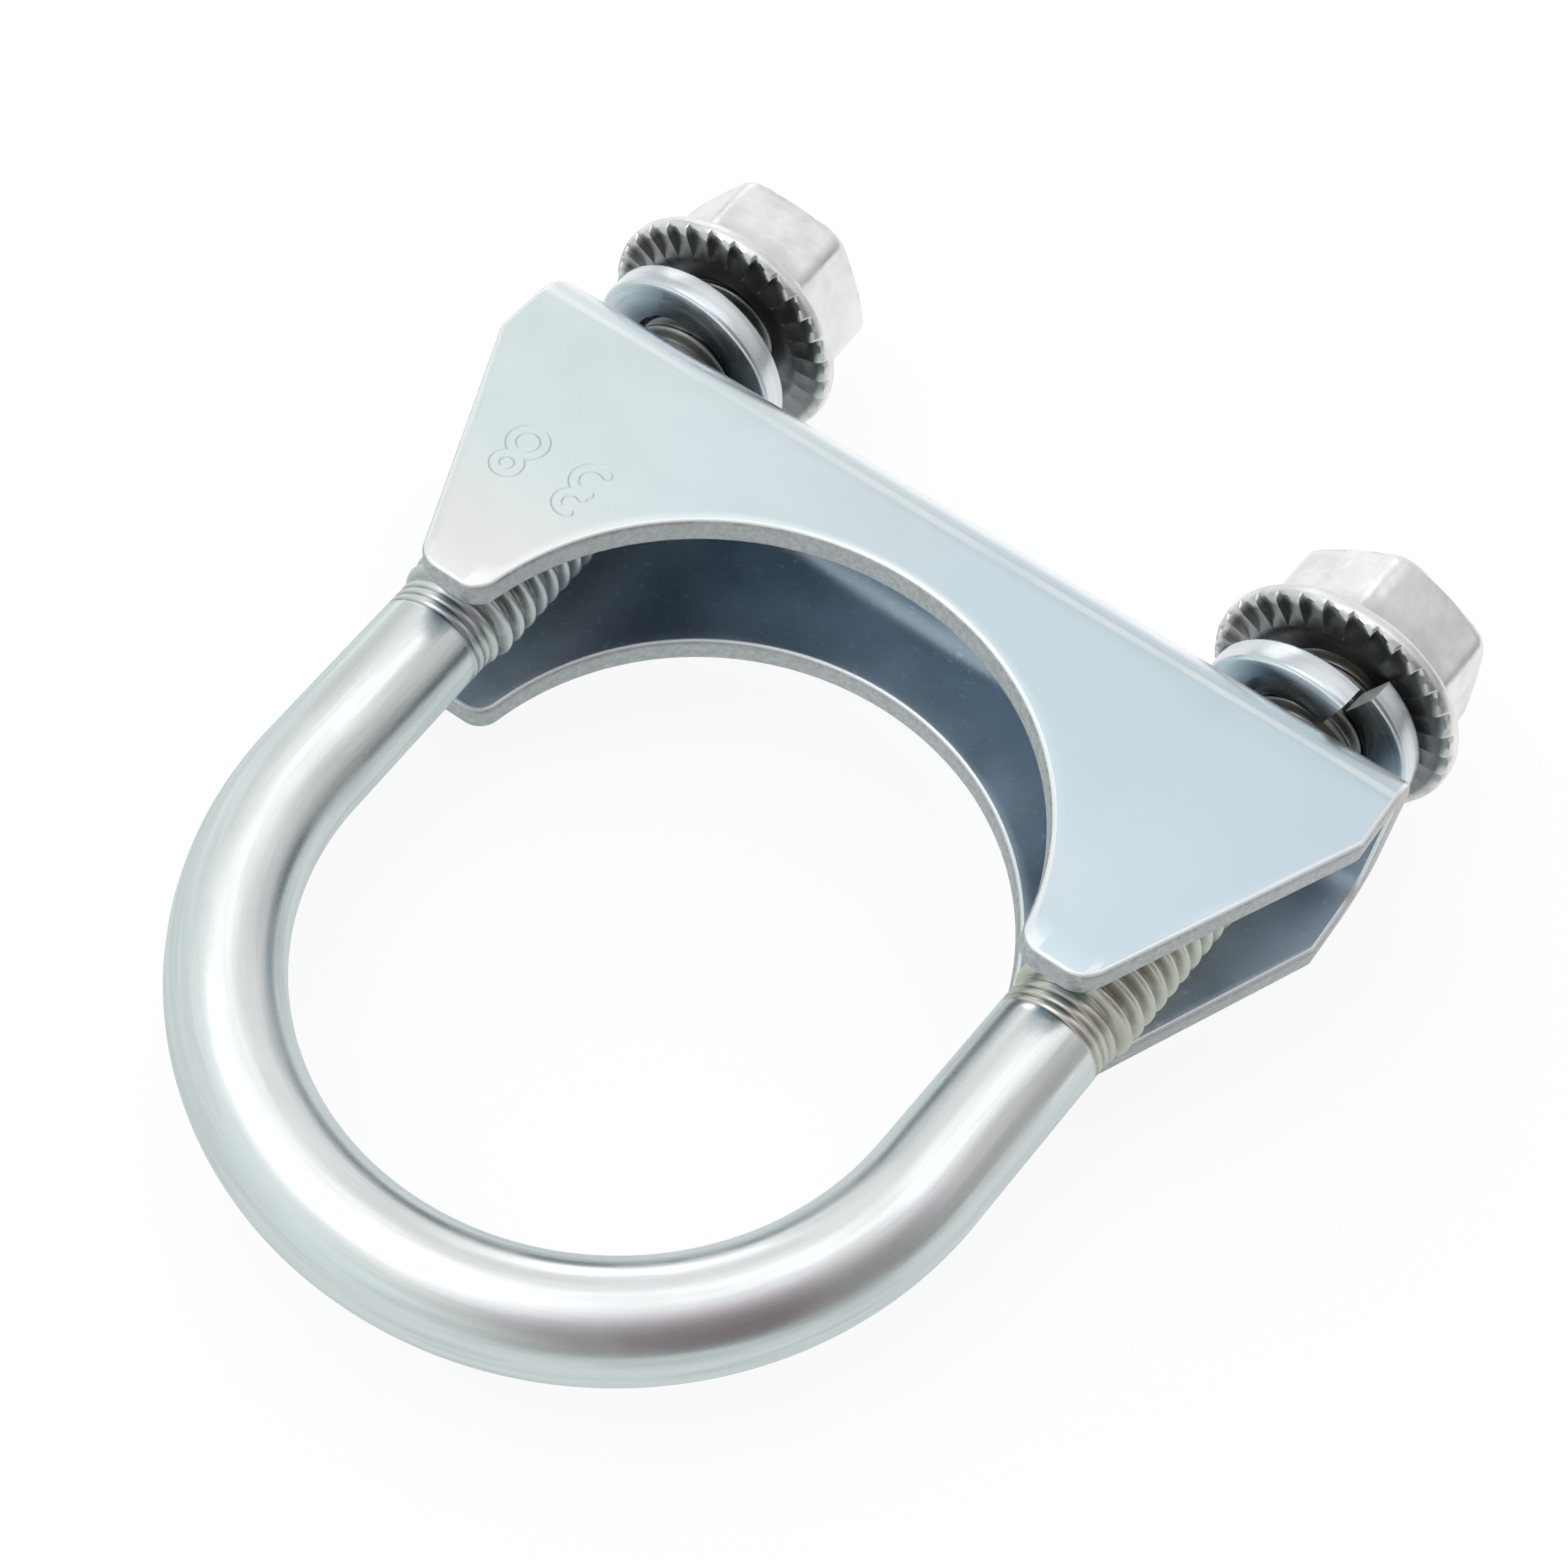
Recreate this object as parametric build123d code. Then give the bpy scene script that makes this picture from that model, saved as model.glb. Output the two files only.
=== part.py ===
from build123d import *
import math
import os

# A U-bolt exhaust clamp lying on its side. Millimetres and degrees.
# The saddle's half-round cut-out is centred on the origin. X runs along the saddle,
# Y goes from the bolt's bend towards its nuts, and Z is the pipe's axis, upwards.

# The pipe that the clamp is made for
pipe_diameter = 38.0
arc_clearance = 0.5  # the saddle's arc over the pipe, on the radius
bend_clearance = 0.1  # the bolt's bend round the pipe, on the radius

# U-bolt
rod_diameter = 7.1  # the thread is rolled on this rod and stands proud of it
thread_diameter = 8.0
thread_pitch = 1.25
thread_start = 2.5  # where the thread runs out, above the arc's centre
end_chamfer = 1.0
leg_stand_out = 0.4  # the legs' ends past the nuts
leg_splay = 2.3  # each leg leans outwards
bend_drop = 9.4  # from the arc's centre down to the bend's, with the nuts loose
saddle_travel = 9.8  # how far the saddle moves down to grip the pipe

# Saddle
sheet = 1.9
end_margin = 3.7  # from each leg's hole to the saddle's end
channel_width = 14.1  # over the flanges, beside the web
flange_flare = 1.15  # each flange leans outwards
fold_radius = 1.8  # inside the fold
crown_height = 8.2  # from the top of the arc to the web's outer face
end_height = 7.5  # the straight ends beside the web
foot_height = 1.9  # the feet end this far above the arc's centre
foot_width = 4.7
foot_outer_radius = 2.0
foot_inner_radius = 1.7
shoulder_radius = 1.0
hole_clearance = 0.6  # round the thread, on the radius

# Spring washers
washer_bore_clearance = 0.25  # round the thread, on the radius
washer_overhang = 0.2  # each washer's outer edge past the web's sides
washer_thickness = 2.0
washer_rise = 2.0  # how far one turn climbs
washer_split = 9.0  # left open between the two ends
washer_gap = 0.3  # between the web and the washer's nearest edge
left_split_angle = 120.0  # round the leg, from +X towards -Z
right_split_angle = 292.0

# Flange nuts
nut_height = 8.0
nut_across_flats = 13.0
nut_bore_clearance = 0.05  # round the thread, on the radius
nut_countersink = 0.6
nut_top_chamfer = 28.0
left_nut_gap = 1.6  # between the washer and the nut
right_nut_gap = 0.9
flange_diameter = 17.4
flange_rim = 1.7
flange_rim_chamfer = 0.5
flange_slope = 24.0  # the flange's upper side
recess_diameter = 12.0  # the hollow under the flange
recess_depth = 0.7
serration_count = 30
serration_depth = 0.55
left_nut_angle = 8.0  # how each nut is turned on its leg
right_nut_angle = 24.0

# Worked out from the sizes above
rod_radius = rod_diameter / 2
thread_radius = thread_diameter / 2
arc_radius = pipe_diameter / 2 + arc_clearance
bend_radius = pipe_diameter / 2 + bend_clearance + rod_radius
splay = math.radians(leg_splay)
leg_start_y = -bend_drop - bend_radius * math.sin(splay)
web_y = arc_radius + crown_height
washer_width = channel_width / 2 + washer_overhang - thread_radius - washer_bore_clearance
washer_middle = thread_radius + washer_bore_clearance + washer_width / 2
washer_lean = (washer_middle + washer_width / 2) * math.sin(splay)
washer_y = web_y + washer_lean + washer_gap
washer_top_y = washer_y + washer_thickness + washer_rise
left_nut_y = washer_top_y + left_nut_gap
right_nut_y = washer_top_y + right_nut_gap
leg_end_y = max(left_nut_y, right_nut_y) + nut_height + leg_stand_out
LEFT, RIGHT = -1, 1


def up_leg(y):
    """The way along a leg's axis from the end of the bend to height y."""
    return (y - leg_start_y) / math.cos(splay)


def leg_x(y):
    """How far out a leg's axis lies at height y."""
    return bend_radius * math.cos(splay) + up_leg(y) * math.sin(splay)


# The saddle's holes stand where the legs pass half-way through its travel
hole_radius = thread_radius + hole_clearance
hole_x = leg_x(web_y - saddle_travel / 2)
saddle_end_x = hole_x + hole_radius + end_margin


def on_leg(side, y, shape, angle=0.0):
    """Stands a shape that was made along Z at height y on the left or right leg."""
    lean = Pos(side * leg_x(y), y, 0) * Rot(0, 0, -side * leg_splay)
    return lean * Rot(-90, 0, 0) * Rot(0, 0, angle) * shape


def turned(*points):
    """A solid turned round Z from its half section's corners (radius, height)."""
    return revolve(Plane.XZ * make_face(Polyline(*points, close=True)), Axis.Z)


def make_u_bolt():
    """The bent rod, with the thread's outer cylinder on both legs."""
    bend = CenterArc((0, -bend_drop), bend_radius, 180 + leg_splay, 180 - 2 * leg_splay)
    bolt = sweep(Plane(bend @ 0, z_dir=bend % 0) * Circle(rod_radius), path=bend)
    start, end = up_leg(thread_start), up_leg(leg_end_y)
    leg = turned(
        (0, 0),
        (rod_radius, 0),
        (rod_radius, start),
        (thread_radius, start + thread_pitch),
        (thread_radius, end - end_chamfer),
        (thread_radius - end_chamfer, end),
        (0, end),
    )
    return bolt + on_leg(LEFT, leg_start_y, leg) + on_leg(RIGHT, leg_start_y, leg)


def saddle_channel():
    """The folded sheet as one long channel with flared flanges."""
    lean = math.tan(math.radians(flange_flare))
    flange_sheet = sheet / math.cos(math.radians(flange_flare))

    def folded(top, half_width, radius):
        """A line down one flange, over the web at height top and down the other flange."""
        bottom = foot_height - sheet
        edge = [
            (bottom, half_width + lean * (web_y - bottom)),
            (top, half_width + lean * (web_y - top)),
        ]
        return FilletPolyline(*edge, *[(y, -z) for y, z in reversed(edge)], radius=radius)

    outside = folded(web_y, channel_width / 2, fold_radius + sheet)
    inside = folded(web_y - sheet, channel_width / 2 - flange_sheet, fold_radius)
    section = make_face([outside, inside, Line(outside @ 0, inside @ 0), Line(outside @ 1, inside @ 1)])
    return extrude(Plane.YZ * section, saddle_end_x, both=True)


def saddle_outline():
    """The saddle seen along the pipe: web, straight ends, sloping sides, feet and arc."""
    shoulder_y = web_y - end_height
    foot_inner_x = math.sqrt(arc_radius ** 2 - foot_height ** 2)
    foot_outer_x = foot_inner_x + foot_width
    side = [(saddle_end_x, web_y), (saddle_end_x, shoulder_y), (foot_outer_x, foot_height)]
    outline = make_face(Polyline(*side, *[(-x, y) for x, y in reversed(side)], close=True))
    outline -= Circle(arc_radius)

    def rounded(face, x, y, radius):
        """Rounds the corners at height y that lie x to the left and right."""
        near = [v for v in face.vertices() if math.hypot(abs(v.X) - x, v.Y - y) < 0.01]
        return fillet(near, radius)

    outline = rounded(outline, saddle_end_x, shoulder_y, shoulder_radius)
    outline = rounded(outline, foot_outer_x, foot_height, foot_outer_radius)
    return rounded(outline, foot_inner_x, foot_height, foot_inner_radius)


def make_saddle():
    """The channel cut to its outline, with a hole in the web for each leg."""
    saddle = saddle_channel() & extrude(saddle_outline(), channel_width, both=True)
    hole = Rot(90, 0, 0) * Cylinder(hole_radius, 4 * sheet)
    return saddle - Pos(-hole_x, web_y, 0) * hole - Pos(hole_x, web_y, 0) * hole


def make_spring_washer():
    """One left-handed turn of square wire, its lower end's underside on Z = 0."""
    turn = (360 - washer_split) / 360
    coil = Helix(washer_rise / turn, washer_rise, washer_middle, lefthand=True)
    wire = Plane(coil @ 0, x_dir=(1, 0, 0), z_dir=coil % 0) * Rectangle(washer_width, washer_thickness)
    washer = sweep(wire, path=coil, is_frenet=True)
    return Pos(0, 0, washer_thickness / 2) * Rot(0, 0, -washer_split / 2) * washer


def serration():
    """One ratchet groove under the flange: a ramp with a steep back, fading to the middle."""
    rim = flange_diameter / 2
    width = 2 * math.pi * rim / serration_count

    def profile(radius):
        """The groove's section at a radius, to scale with it."""
        scale = radius / rim
        points = [(0, -1), (width, -1), (width, 0), (0, serration_depth)]
        corners = [(y * scale, z * scale) for y, z in points]
        return Plane.YZ.offset(radius) * make_face(Polyline(*corners, close=True))

    return loft([profile(thread_radius), profile(rim + 1)], ruled=True)


def make_flange_nut():
    """A hexagon nut standing on Z = 0 by its serrated flange."""
    bore = thread_radius + nut_bore_clearance
    rim, flat = flange_diameter / 2, nut_across_flats / 2
    slope = math.tan(math.radians(flange_slope))
    top_slope = math.tan(math.radians(nut_top_chamfer))
    hexagon = extrude(RegularPolygon(flat, 6, major_radius=False), nut_height)
    hexagon &= turned((0, 0), (rim, 0), (rim, nut_height - top_slope * (rim - flat)),
                      (flat, nut_height), (0, nut_height))
    blunt = flange_rim_chamfer
    flange = turned((0, 0), (rim - blunt, 0), (rim, blunt), (rim, flange_rim - blunt),
                    (rim - blunt, flange_rim), (0, flange_rim + slope * (rim - blunt)))
    nut = hexagon + flange
    recess = recess_diameter / 2
    nut -= turned((0, -1), (recess, -1), (recess, 0), (bore, recess_depth), (0, recess_depth))
    nut -= turned((0, -1), (bore, -1), (bore, nut_height - nut_countersink),
                  (bore + nut_countersink, nut_height), (bore + nut_countersink, nut_height + 1),
                  (0, nut_height + 1))
    step = 360 / serration_count
    return nut - [Rot(0, 0, i * step) * serration() for i in range(serration_count)]


washer = make_spring_washer()
nut = make_flange_nut()
parts = {
    "u_bolt": make_u_bolt(),
    "saddle": make_saddle(),
    "left_spring_washer": on_leg(LEFT, washer_y, washer, left_split_angle),
    "right_spring_washer": on_leg(RIGHT, washer_y, washer, right_split_angle),
    "left_flange_nut": on_leg(LEFT, left_nut_y, nut, left_nut_angle),
    "right_flange_nut": on_leg(RIGHT, right_nut_y, nut, right_nut_angle),
}

os.makedirs("parts", exist_ok=True)
for node, shape in parts.items():
    export_step(shape, f"parts/{node}.step")
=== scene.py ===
"""An exhaust clamp lying on its side on a pale floor, with no pipe in it.

The bolt, the saddle, the spring washers and the flange nuts are each built by an operator
around the packed part, at the sizes and in the colours that the panel shows.
"""

import math

import bpy
import numpy as np
from mathutils import Matrix, Vector


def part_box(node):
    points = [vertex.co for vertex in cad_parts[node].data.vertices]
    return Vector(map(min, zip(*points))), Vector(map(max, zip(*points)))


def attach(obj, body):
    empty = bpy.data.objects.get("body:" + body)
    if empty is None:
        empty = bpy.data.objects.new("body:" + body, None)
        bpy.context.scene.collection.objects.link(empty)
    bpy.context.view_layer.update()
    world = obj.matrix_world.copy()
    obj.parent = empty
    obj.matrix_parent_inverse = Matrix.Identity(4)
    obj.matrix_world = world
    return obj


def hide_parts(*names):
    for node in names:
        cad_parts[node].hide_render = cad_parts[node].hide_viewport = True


bl_info = {
    "name": "Exhaust clamp",
    "version": (1, 0, 0),
    "blender": (4, 5, 0),
    "location": "3D View > Sidebar > Clamp",
    "description": "Builds a U-bolt exhaust clamp with its saddle, spring washers and flange nuts",
    "category": "Add Mesh",
}

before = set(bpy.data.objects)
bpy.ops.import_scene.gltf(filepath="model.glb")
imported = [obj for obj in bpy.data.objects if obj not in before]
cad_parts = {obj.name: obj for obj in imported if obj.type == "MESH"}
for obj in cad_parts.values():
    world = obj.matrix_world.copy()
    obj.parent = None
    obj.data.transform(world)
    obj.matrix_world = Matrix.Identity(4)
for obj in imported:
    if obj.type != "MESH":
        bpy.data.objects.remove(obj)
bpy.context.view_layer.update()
bolt_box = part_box("u_bolt")
saddle_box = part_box("saddle")
LEFT, RIGHT = -1, 1
SIDES = {LEFT: "left", RIGHT: "right"}
MM = 0.001


def length(name, description, default):
    """A size in metres."""
    return bpy.props.FloatProperty(
        name=name, description=description, default=default, unit="LENGTH", precision=5
    )


def number(name, description, default, **more):
    """A plain number, or one with a unit."""
    return bpy.props.FloatProperty(name=name, description=description, default=default, **more)


def angle(name, description, degrees):
    """An angle, given in degrees and kept in radians."""
    return bpy.props.FloatProperty(
        name=name, description=description, default=math.radians(degrees), subtype="ANGLE"
    )


def colour(name, description, default):
    """A surface colour."""
    return bpy.props.FloatVectorProperty(
        name=name, description=description, default=(*default, 1), size=4, subtype="COLOR",
        min=0, max=1,
    )


class ClampBoltSizes(bpy.types.PropertyGroup):
    """Sizes of the bent bolt and of the thread on its legs. Heights are above the arc's centre."""

    rod_radius: length("Rod", "Radius of the smooth rod", 3.55 * MM)
    bend_radius: length("Bend", "Radius of the bend at the middle of the rod", 22.65 * MM)
    bend_drop: length("Bend drop", "From the saddle's arc centre down to the bend's", 9.4 * MM)
    leg_splay: angle("Splay", "How far each leg leans outwards", 2.3)
    leg_top: length("Leg top", "Height of the legs' ends", bolt_box[1].y - 0.16 * MM)
    thread_radius: length("Thread", "Radius over the thread", 4 * MM)
    thread_root: length("Thread root", "Radius at the bottom of the thread", 3.3 * MM)
    thread_pitch: length("Pitch", "Distance from one turn of the thread to the next", 1.25 * MM)
    thread_start: length("Thread start", "Height of the thread's first shallow ring", 1.3 * MM)
    run_out: length("Run-out", "Length of the shallow rings before the full thread", 2.2 * MM)
    run_out_depth: length("Run-out depth", "Depth of the shallow rings", 0.09 * MM)
    end_chamfer: length("End chamfer", "Chamfer at the legs' ends", 1 * MM)


class ClampSaddleSizes(bpy.types.PropertyGroup):
    """Sizes of the pressed saddle. Heights are above the arc's centre."""

    arc_radius: length("Arc", "Radius of the half-round cut-out", 19.5 * MM)
    sheet: length("Sheet", "Thickness of the sheet", 1.9 * MM)
    half_length: length("Half length", "From the middle to one end", saddle_box[1].x)
    web_height: length("Web", "Height of the web's outer face", saddle_box[1].y)
    half_width: length("Half width", "From the middle to a flange, beside the web", 7.05 * MM)
    flare: angle("Flare", "How far each flange leans outwards", 1.15)
    fold_radius: length("Fold", "Radius outside the fold", 3.7 * MM)
    end_height: length("End height", "Height of the straight ends beside the web", 7.5 * MM)
    foot_height: length("Foot height", "Height of the feet", 1.9 * MM)
    foot_width: length("Foot width", "Width of each foot", 4.7 * MM)
    foot_inner_radius: length("Inner corner", "Rounding of a foot beside the arc", 1.7 * MM)
    foot_outer_radius: length("Outer corner", "Rounding of a foot's outer corner", 2 * MM)
    shoulder_radius: length("Shoulder", "Rounding between the sloping side and the end", 1 * MM)
    hole_radius: length("Hole", "Radius of the leg's hole in the web", 4.6 * MM)
    hole_x: length("Hole place", "From the middle to the centre of each hole", 23.961 * MM)
    edge_bevel: length("Edge", "Rounding of the worn edges of the sheet", 0.34 * MM)


class ClampWasherSizes(bpy.types.PropertyGroup):
    """Sizes of the split spring washers."""

    bore_radius: length("Bore", "Radius of the washer's hole", 4.25 * MM)
    width: length("Width", "Width of the wire", 3 * MM)
    thickness: length("Thickness", "Thickness of the wire", 2 * MM)
    rise: length("Rise", "How far one turn climbs", 2 * MM)
    edge_radius: length("Edge", "Rounding of the wire's edges", 0.3 * MM)
    split: angle("Split", "Opening between the two ends", 9)
    left_angle: angle("Left split", "Where the left washer is split", 120)
    right_angle: angle("Right split", "Where the right washer is split", 292)


class ClampNutSizes(bpy.types.PropertyGroup):
    """Sizes of the serrated flange nuts."""

    height: length("Height", "Height of the nut with its flange", 8 * MM)
    across_flats: length("Flats", "Distance across the flats", 13 * MM)
    corner_radius: length("Corner", "Rounding of the hexagon's corners", 1.3 * MM)
    top_rounding: length("Top rounding", "Rounding of the hexagon's top edges", 0.6 * MM)
    bore_radius: length("Bore", "Radius of the nut's hole", 4.05 * MM)
    countersink: length("Countersink", "Chamfer at the top of the hole", 0.6 * MM)
    top_chamfer: angle("Top chamfer", "Slope of the chamfer on the hexagon's top", 28)
    flange_radius: length("Flange", "Radius of the flange", 8.7 * MM)
    flange_rim: length("Rim", "Height of the flange's rim", 1.7 * MM)
    rim_radius: length("Rim rounding", "Rounding of the rim's edges", 0.7 * MM)
    flange_slope: angle("Flange slope", "Slope of the flange's upper side", 24)
    recess_radius: length("Recess", "Radius of the hollow under the flange", 6 * MM)
    recess_depth: length("Recess depth", "Depth of the hollow under the flange", 0.7 * MM)
    teeth: bpy.props.IntProperty(name="Teeth", description="Count of serrations", default=30)
    tooth_depth: length("Tooth depth", "Depth of the serrations at the rim", 0.55 * MM)
    tooth_start: length("Tooth start", "Radius at which the serrations begin", 6.3 * MM)
    left_angle: angle("Left turn", "How the left nut is turned on its leg", 8)
    right_angle: angle("Right turn", "How the right nut is turned on its leg", 24)


class ClampColours(bpy.types.PropertyGroup):
    """Colours of the plating and of the bare edges, and the painted shade and highlights."""

    bolt: colour("Bolt", "Bright zinc on the rod", (0.88, 0.915, 0.925))
    bolt_streak: colour("Bolt streaks", "Duller streaks along the rod", (0.76, 0.79, 0.80))
    thread: colour("Left thread", "Zinc on its crests", (0.76, 0.79, 0.80))
    thread_warm: colour("Right thread", "Yellower zinc on its crests", (0.76, 0.75, 0.67))
    # Painted shade: this dark colour is laid in the thread's grooves and run-out rings, on the
    # legs' dished ends and on the thread between the web and the nuts.
    thread_root: colour("Thread root", "Grime in the thread", (0.17, 0.17, 0.15))
    saddle: colour("Saddle", "Bluish bright zinc on the sheet", (0.61, 0.73, 0.80))
    saddle_left: colour("Saddle's left", "Paler zinc towards the left end", (0.75, 0.845, 0.86))
    saddle_foot: colour("Left foot", "Warmer zinc on the left foot", (0.86, 0.87, 0.85))
    # Painted highlight: the fold's curve is made brighter in colour to stand in for its reflection.
    saddle_fold_highlight: colour("Saddle fold", "Brighter zinc on the fold", (0.93, 0.97, 1.0))
    # Painted shade: the darker colour of the channel's inside.
    saddle_inside_shade: colour("Saddle inside", "Bluer zinc inside the channel", (0.42, 0.50, 0.58))
    cut_edge: colour("Cut edges", "Grey cut edges of the sheet", (0.52, 0.53, 0.54))
    # Painted highlight on the rounded rims of the sheet and in a broken line where the fold leaves
    # the flange.
    painted_edge_highlight: colour("Worn edges", "Bright rims and the line rubbed on the fold", (0.96, 1.0, 1.0))
    stamp: colour("Stamp", "Shade in the walls of the stamped digits", (0.2, 0.24, 0.26))
    washer: colour("Washers", "Zinc on the spring washers", (0.76, 0.81, 0.84))
    # Painted shade: the washers darken towards their holes.
    washer_hole_shade: colour("Washer insides", "Darker zinc round the holes", (0.13, 0.17, 0.23))
    washer_end: colour("Washer ends", "Bright sheared ends of the wire", (0.9, 0.92, 0.94))
    nut: colour("Nuts", "Matt zinc on the nuts", (0.89, 0.895, 0.87))
    nut_shade: colour("Nut patches", "Duller patches on the nuts", (0.74, 0.755, 0.73))
    # Painted shade under the nuts' flanges, at the hexagons' necks and down the bores.
    nut_hollow_shade: colour("Nut hollows", "Grime under the nuts' flanges", (0.16, 0.165, 0.175))
    floor: colour("Floor", "Pale floor", (1.0, 1.0, 1.0))


class ClampStage(bpy.types.PropertyGroup):
    """Camera, lamps and floor."""

    azimuth: angle("Azimuth", "Camera's turn round the clamp, from behind the bend", 28.9)
    elevation: angle("Elevation", "Camera's height above the horizon", 56.6)
    roll: angle("Roll", "Camera's turn about its own line of sight", 7.9)
    distance: length("Distance", "From the camera to what it looks at", 169.4 * MM)
    look_at: bpy.props.FloatVectorProperty(
        name="Look at", description="Point at the picture's centre",
        default=(1.42 * MM, 5.21 * MM, 2.55 * MM), size=3, unit="LENGTH",
    )
    lens: number("Lens", "Focal length", 64.4, unit="CAMERA")
    key_power: number("Key lamp", "Power of the large lamp", 0.4, unit="POWER")
    fill_power: number("Fill lamp", "Power of the small lamp", 0.15, unit="POWER")
    sky: number("Surroundings", "Brightness of the studio", 1.25)
    floor_glow: number("Floor", "Brightness that the camera and reflections see", 1.04)
    floor_share: number("Floor share", "How far that brightness covers the shadow", 0.84)


def leg_x(y):
    """How far out a leg's axis lies at height y."""
    bolt = bpy.context.scene.clamp_bolt
    start = -bolt.bend_drop - bolt.bend_radius * math.sin(bolt.leg_splay)
    return bolt.bend_radius * math.cos(bolt.leg_splay) + (y - start) * math.tan(bolt.leg_splay)


def on_leg(side, y, points):
    """Moves points that were made along Z from height 0 onto a leg, from height y up."""
    splay = bpy.context.scene.clamp_bolt.leg_splay
    across = np.array([math.cos(splay), -side * math.sin(splay), 0])
    outwards = np.array([side * math.sin(splay), math.cos(splay), 0])
    axes = np.array([across, [0, 0, -1], outwards])
    return points @ axes + [side * leg_x(y), y, 0]


def grid_faces(columns, rows, loop_columns=False, loop_rows=False, start=0, flip=False):
    """Quads over a grid of points stored column by column, closed round where asked."""
    c = np.arange(columns if loop_columns else columns - 1)[:, None]
    r = np.arange(rows if loop_rows else rows - 1)[None, :]
    c_next, r_next = (c + 1) % columns, (r + 1) % rows
    corners = [c * rows + r, c_next * rows + r, c_next * rows + r_next, c * rows + r_next]
    faces = np.stack(np.broadcast_arrays(*corners), -1).reshape(-1, 4) + start
    return faces[:, ::-1] if flip else faces


def add_piece(name, points, faces, materials, places=None):
    """A shaded mesh object in the scene, with its surface places kept for the materials."""
    mesh = bpy.data.meshes.new(name)
    mesh.from_pydata(np.reshape(points, (-1, 3)).tolist(), [], [list(map(int, f)) for f in faces])
    for place, values in (places or {}).items():
        values = np.ascontiguousarray(values, np.float32)
        kind, key = ("FLOAT_VECTOR", "vector") if values.ndim > 1 else ("FLOAT", "value")
        mesh.attributes.new(place, kind, "POINT").data.foreach_set(key, values.ravel())
    mesh.update()
    mesh.shade_smooth()
    for material in materials:
        mesh.materials.append(material)
    piece = bpy.data.objects.new(name, mesh)
    bpy.context.scene.collection.objects.link(piece)
    return piece


def stand_for(piece, node, body):
    """The piece takes a node's place and moves with its body."""
    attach(piece, body)
    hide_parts(node)


def smooth_step(low, high, value):
    """0 below low, 1 above high and a smooth rise between."""
    t = np.clip((value - low) / (high - low), 0, 1)
    return t * t * (3 - 2 * t)


class Nodes:
    """Adds nodes to a tree, laid out in columns."""

    spacing, per_column = 220, 4

    def __init__(self, tree):
        self.tree = tree
        self.added = 0

    def node(self, kind, inputs=None, **settings):
        """A node with its settings, and its inputs set to values or joined to other nodes."""
        made = self.tree.nodes.new(kind)
        self.added += 1
        column, row = divmod(self.added, self.per_column)
        made.location = (-self.spacing * (1 + column), -self.spacing * row)
        for key, value in settings.items():
            setattr(made, key, value)
        for key, value in (inputs or {}).items():
            if isinstance(value, bpy.types.NodeSocket):
                self.tree.links.new(value, made.inputs[key])
            else:
                made.inputs[key].default_value = value
        return made

    def math(self, operation, a, b=0.5):
        """One sum on two numbers."""
        return self.node("ShaderNodeMath", {0: a, 1: b}, operation=operation).outputs["Value"]

    def times(self, a, b):
        """Two numbers multiplied."""
        return self.math("MULTIPLY", a, b)

    def axes(self, vector):
        """A vector's X, Y and Z."""
        return self.node("ShaderNodeSeparateXYZ", {0: vector}).outputs

    def towards(self, direction, side):
        """How nearly a direction points to one side, from -1 to 1."""
        inputs = {0: direction, 1: side}
        return self.node("ShaderNodeVectorMath", inputs, operation="DOT_PRODUCT").outputs["Value"]

    def span(self, value, low, high, to_low=0.0, to_high=1.0):
        """The value's span from low to high spread smoothly over another span."""
        inputs = {"Value": value, 1: low, 2: high, 3: to_low, 4: to_high}
        made = self.node("ShaderNodeMapRange", inputs, interpolation_type="SMOOTHSTEP")
        return made.outputs["Result"]

    def mix(self, share, a, b, blend="MIX"):
        """A colour between a and b."""
        inputs = {"Factor": share, 6: a, 7: b}
        return self.node("ShaderNodeMix", inputs, data_type="RGBA", blend_type=blend).outputs[2]

    def blend(self, share, a, b):
        """A shader between a and b."""
        inputs = {0: share, 1: a.outputs[0], 2: b.outputs[0]}
        return self.node("ShaderNodeMixShader", inputs).outputs[0]

    def ramp(self, value, steps):
        """A colour read off a row of steps (place, grey level or colour)."""
        made = self.node("ShaderNodeValToRGB", {"Fac": value})
        elements = made.color_ramp.elements
        while len(elements) < len(steps):
            elements.new(0.5)
        for element, (where, level) in zip(elements, steps):
            element.position = where
            element.color = (*level, 1) if isinstance(level, tuple) else (level, level, level, 1)
        return made.outputs["Color"]


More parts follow.
